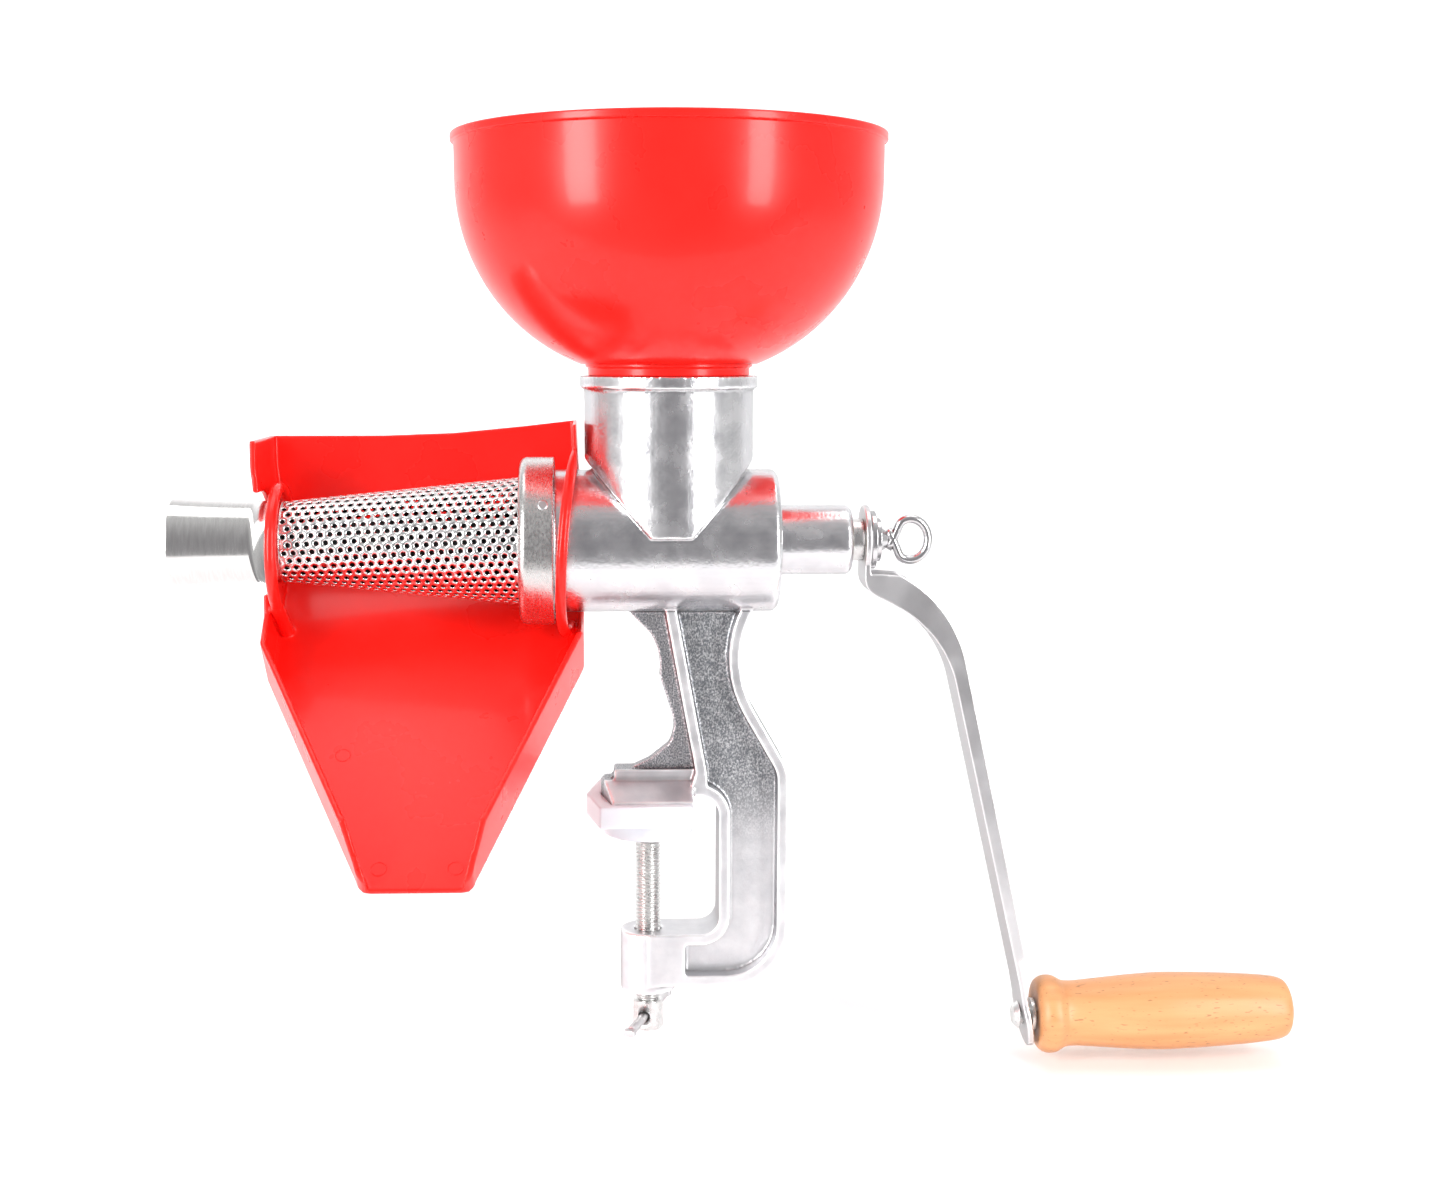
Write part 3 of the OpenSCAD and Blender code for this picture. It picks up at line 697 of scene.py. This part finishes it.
head_top = lo.z + 11.6
head = filleted([(0.01, head_top, 0), (5.7, head_top, 0.5), (5.75, lo.z, 1.0), (0.01, lo.z, 0)])
head_piece = piece("screw_head", lathe(head, upright(0, 0), 96), "clamp_screw")
bar_lo, bar_hi = box_mm("tommy_bar")
bar_z = (bar_lo.z + bar_hi.z) / 2
bar_azimuth = math.radians(-19)
drill_r = 2.4 * MM
drill = bpy.data.meshes.new("drill")
bm = bmesh.new()
bmesh.ops.create_cone(
    bm, cap_ends=True, segments=48, radius1=drill_r, radius2=drill_r, depth=30 * MM)
bmesh.ops.transform(bm, verts=bm.verts, matrix=(
    Matrix.Translation((0, 0, bar_z * MM)) @ Matrix.Rotation(bar_azimuth, 4, "Z")
    @ Matrix.Rotation(math.radians(90), 4, "X")))
bm.to_mesh(drill)
bm.free()
cutter = bpy.data.objects.new("drill", drill)
bpy.context.scene.collection.objects.link(cutter)
cut = head_piece.modifiers.new("hole", "BOOLEAN")
cut.operation = "DIFFERENCE"
cut.solver = "EXACT"
cut.object = cutter
depsgraph = bpy.context.evaluated_depsgraph_get()
drilled = bpy.data.meshes.new_from_object(head_piece.evaluated_get(depsgraph))
head_piece.modifiers.clear()
head_piece.data = drilled
bpy.data.objects.remove(cutter)
head_piece.modifiers.new("normals", "WEIGHTED_NORMAL")

# ------------------------------------------------------------ pads

lo, hi = box_mm("pressure_pad")
pad_r = (hi.x - lo.x) / 2
profile = filleted([
    (0.01, hi.z, 0), (pad_r - 0.6, hi.z, 0.8), (pad_r, hi.z - 1.2, 0.8), (pad_r, lo.z, 0.9),
    (pad_r - 2.18, lo.z, 0.5), (pad_r - 2.18, hi.z - 2.0, 0.2), (0.01, hi.z - 2.0, 0),
])
pad = piece("pressure_cap", lathe(profile, upright(0, 0), 128), "pressure_pad")
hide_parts("pressure_pad")

# ------------------------------------------------------------ thumb screw's eye

lo, hi = box_mm("eye_loop")
wire = (hi.y - lo.y) / 2
mid = (lo.x + hi.x) / 2
ring_r = (hi.z - lo.z) / 2 - wire
loop_z = (lo.z + hi.z) / 2
path = []
for k in range(64):
    a = math.pi * (2 * k / 63 - 1) * 0.74
    x = mid + 1.0 + (ring_r - 1.0) * math.cos(a)
    z = loop_z + ring_r * math.sin(a)
    path.append((x, z))
left = lo.x + wire + 0.3
lead = [(left, loop_z + 3.6), (left + 1.4, loop_z + 2.0), (left + 3.6, loop_z - 0.4)]
tail = [(left + 3.6, loop_z + 0.4), (left + 1.4, loop_z - 2.0), (left, loop_z - 3.6)]
points = [Vector((x * MM, 0, z * MM)) for x, z in lead + path + tail]
for _ in range(6):
    between = [(a + 2 * b + c) / 4 for a, b, c in zip(points, points[1:], points[2:])]
    points = [points[0], *between, points[-1]]
loop = piece("bent_wire_eye", tube(points, (wire - 0.25) * MM, sides=24), "eye_loop")
loop.data.materials[0] = BRIGHT_WIRE
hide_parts("eye_loop")

# ------------------------------------------------------------ grip

joint = [j for j in frame["record"]["behaviour"]["joints"] if j["name"] == "grip_spin"][0]
pin = Vector(joint["pos_m"])
along = Vector(joint["axis"]).normalized()
across = Vector((0, 1, 0))
third = along.cross(across)
lo, hi = box_mm("wood_grip")
grip_len = (hi.x - lo.x) - 0.3
grip_from = 4.2
grip_r = 15.0
half_outline = smooth_curve([
    (11.4, 0.2), (13.3, 0.9), (14.7, 2.9), (15.1, 5.2), (14.8, 7.4), (13.9, 9.2), (12.95, 11),
    (12.6, 14), (12.75, 18), (13.25, 24), (13.85, 31), (14.5, 40), (grip_r - 0.05, 50),
    (14.75, 60), (14.45, 68), (14.05, 76), (13.55, 84), (12.95, 91), (12.2, 96.2), (11.0, 99.2),
    (9.2, grip_len - 0.05),
], 5)
outline = [(3.6, 0.15), *half_outline, (6.5, grip_len), (3.6, grip_len - 0.1)]


def on_pin(x, y, h):
    return pin + along * ((grip_from + h) * MM) + across * (x * MM) + third * (y * MM)


bm = lathe(outline, on_pin, 128)
grip = piece("turned_grip", bm, "wood_grip")
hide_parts("wood_grip")

# ------------------------------------------------------------ guard's moulding marks

chute_slope = math.radians(41)
floor_in = 34.2
floor_len = 132.5


def on_floor(x, down):
    """A point on the chute's floor, down mm along its slope from the barrel's axis."""
    v, h = -down, -floor_in
    return Vector((x, v * math.cos(chute_slope) - h * math.sin(chute_slope),
                   axis_z + v * math.sin(chute_slope) + h * math.cos(chute_slope))) * MM


floor_up = Vector((0, -math.sin(chute_slope), math.cos(chute_slope)))
floor_down = Vector((0, -math.cos(chute_slope), -math.sin(chute_slope)))
for k, (x, down) in enumerate([(-95.5, floor_len - 9), (-69, floor_len - 9), (-112, floor_len - 58)]):
    c = on_floor(x, down) + floor_up * 0.04 * MM
    angles = [2 * math.pi * i / 48 for i in range(48)]
    ring = [c + 2.7 * MM * (math.cos(a) * Vector((1, 0, 0)) + math.sin(a) * floor_down) for a in angles]
    piece("ejector_mark_%d" % k, tube(ring, 0.13 * MM, closed=True, sides=8), "splash_guard")

# ------------------------------------------------------------ studio

lo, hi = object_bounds()
floor_z = lo.z - 0.004


def studio_white(near_glow, far_glow):
    """White paper that glows a little more towards the back."""
    m = material("studio_white", (0.93, 0.93, 0.935), (0.91, 0.91, 0.915), (0.75, 0.85), grain=3)
    nt = m.node_tree
    shader = nt.nodes["Principled BSDF"]
    shader.inputs["Emission Color"].default_value = (1, 1, 1, 1)
    glow = map_range(nt, object_axes(nt)["Y"], 0.15, 1.0, near_glow, far_glow)
    nt.links.new(glow, shader.inputs["Emission Strength"])
    return m


sweep = bpy.data.meshes.new("sweep")
front_y, back_y, bend, half_width = -0.34, 0.5, 0.5, 2.2
profile_yz = [(front_y, floor_z), (back_y, floor_z)]
for k in range(1, 13):
    a = math.pi / 2 * k / 12
    profile_yz.append((back_y + bend * math.sin(a), floor_z + bend * (1 - math.cos(a))))
profile_yz.append((back_y + bend, floor_z + 2.2))
verts, faces = [], []
for y, z in profile_yz:
    verts += [(-half_width, y, z), (half_width, y, z)]
for k in range(len(profile_yz) - 1):
    faces.append((2 * k, 2 * k + 1, 2 * k + 3, 2 * k + 2))
sweep.from_pydata(verts, [], faces)
for p in sweep.polygons:
    p.use_smooth = True
floor = bpy.data.objects.new("studio_sweep", sweep)
floor.data.materials.append(studio_white(0.07, 0.14))
bpy.context.scene.collection.objects.link(floor)


def softbox(name, where, target, width, height, power):
    data = bpy.data.lights.new(name, "AREA")
    data.shape = "RECTANGLE"
    data.size, data.size_y = width, height
    data.energy = power
    o = bpy.data.objects.new(name, data)
    bpy.context.scene.collection.objects.link(o)
    o.location = where
    o.rotation_mode = "QUATERNION"
    o.rotation_quaternion = (Vector(target) - Vector(where)).to_track_quat("-Z", "Y")


aim = (0.0, 0.0, 0.10)
softbox("key_left", (-0.97, -0.90, 0.36), aim, 0.40, 1.05, 18)
softbox("key_right", (0.92, -0.92, 0.36), aim, 0.32, 1.05, 13)
softbox("overhead", (0.0, 0.10, 1.25), aim, 1.4, 0.7, 6)

world = bpy.data.worlds.new("studio")
world.use_nodes = True
wt = world.node_tree
background = wt.nodes["Background"]
coords = wt.nodes.new("ShaderNodeTexCoord")
facing = wt.nodes.new("ShaderNodeVectorMath")
facing.operation = "DOT_PRODUCT"
facing.inputs[1].default_value = (0.25, -0.967, 0.05)
wt.links.new(coords.outputs["Generated"], facing.inputs[0])
spread = map_range(wt, facing.outputs["Value"], -1.0, 1.0)
fade = two_stop_ramp(wt, spread, 0.74, (1.0, 1.0, 1.0), 0.985, (0.46, 0.45, 0.465))
wt.links.new(fade, background.inputs["Color"])
background.inputs["Strength"].default_value = 0.6
bpy.context.scene.world = world
bpy.context.scene.view_settings.view_transform = "Standard"

# ------------------------------------------------------------ camera

cam_data = bpy.data.cameras.new("camera")
cam = bpy.data.objects.new("camera", cam_data)
bpy.context.scene.collection.objects.link(cam)
bpy.context.scene.camera = cam
yaw, pitch_down = math.radians(2.1), math.radians(7.363)
cam.location = Vector((-21.548, -692.576, 176.763)) * MM
level = math.cos(pitch_down)
ahead = Vector((math.sin(yaw) * level, math.cos(yaw) * level, -math.sin(pitch_down)))
cam.rotation_mode = "QUATERNION"
cam.rotation_quaternion = ahead.to_track_quat("-Z", "Y")
cam_data.sensor_width = 36
cam_data.lens = 45.79
cam_data.shift_x = 0.0447
cam_data.clip_start = 0.01
cam_data.clip_end = 20
